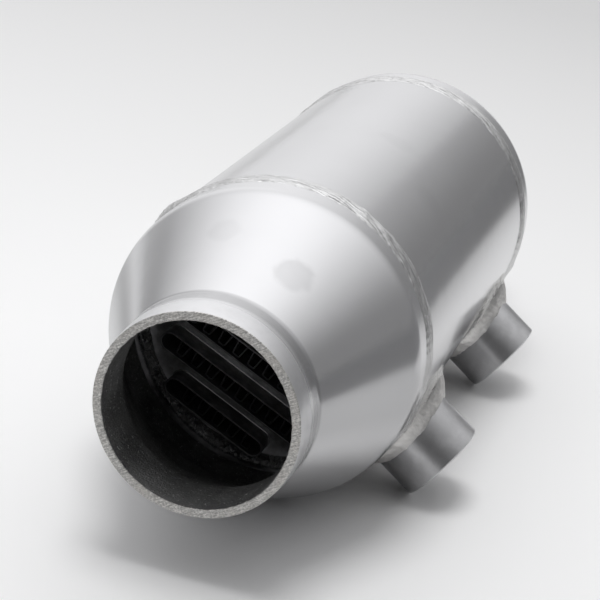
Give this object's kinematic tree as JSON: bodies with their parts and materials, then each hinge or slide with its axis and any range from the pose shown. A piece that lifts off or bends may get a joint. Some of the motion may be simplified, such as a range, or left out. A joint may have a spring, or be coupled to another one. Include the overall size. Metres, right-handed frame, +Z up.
{
  "type": "water-to-air intercooler",
  "caption": "Round barrel charge-air cooler: spun conical end tanks with hose necks, welded water jacket, flat-tube core and threaded water bungs on one side.",
  "frame": {"origin": "Centre of the front hose neck's mouth, on the barrel's axis", "axes": "+Y runs along the barrel from the front neck to the rear neck, +Z is up as the part lies at rest on its seam welds and bung rims, and the bungs point towards +X and downwards"},
  "size_m": [0.1174, 0.3039, 0.1036],
  "materials": {
    "shell_aluminium": "satin",
    "tank_aluminium": "satin",
    "weld_bead": "bright rippled weld",
    "bung_aluminium": "matt turned",
    "core_aluminium": "dull brazed",
    "fin_aluminium": "dull brazed"
  },
  "bodies": {
    "root": {"barrel_shell": "shell_aluminium", "front_end_tank": "tank_aluminium", "front_header_plate": "core_aluminium", "front_header_weld": "weld_bead", "front_seam_weld": "weld_bead", "front_bung_weld": "weld_bead", "front_water_bung": "bung_aluminium", "rear_end_tank": "tank_aluminium", "rear_header_plate": "core_aluminium", "rear_header_weld": "weld_bead", "rear_seam_weld": "weld_bead", "rear_bung_weld": "weld_bead", "rear_water_bung": "bung_aluminium", "air_tube_1": "core_aluminium", "air_fin_1": "fin_aluminium", "air_tube_2": "core_aluminium", "air_fin_2": "fin_aluminium", "air_tube_3": "core_aluminium", "air_fin_3": "fin_aluminium", "air_tube_4": "core_aluminium", "air_fin_4": "fin_aluminium", "air_tube_5": "core_aluminium", "air_fin_5": "fin_aluminium", "air_tube_6": "core_aluminium", "air_fin_6": "fin_aluminium", "air_tube_7": "core_aluminium", "air_fin_7": "fin_aluminium"}
  },
  "joints": []
}
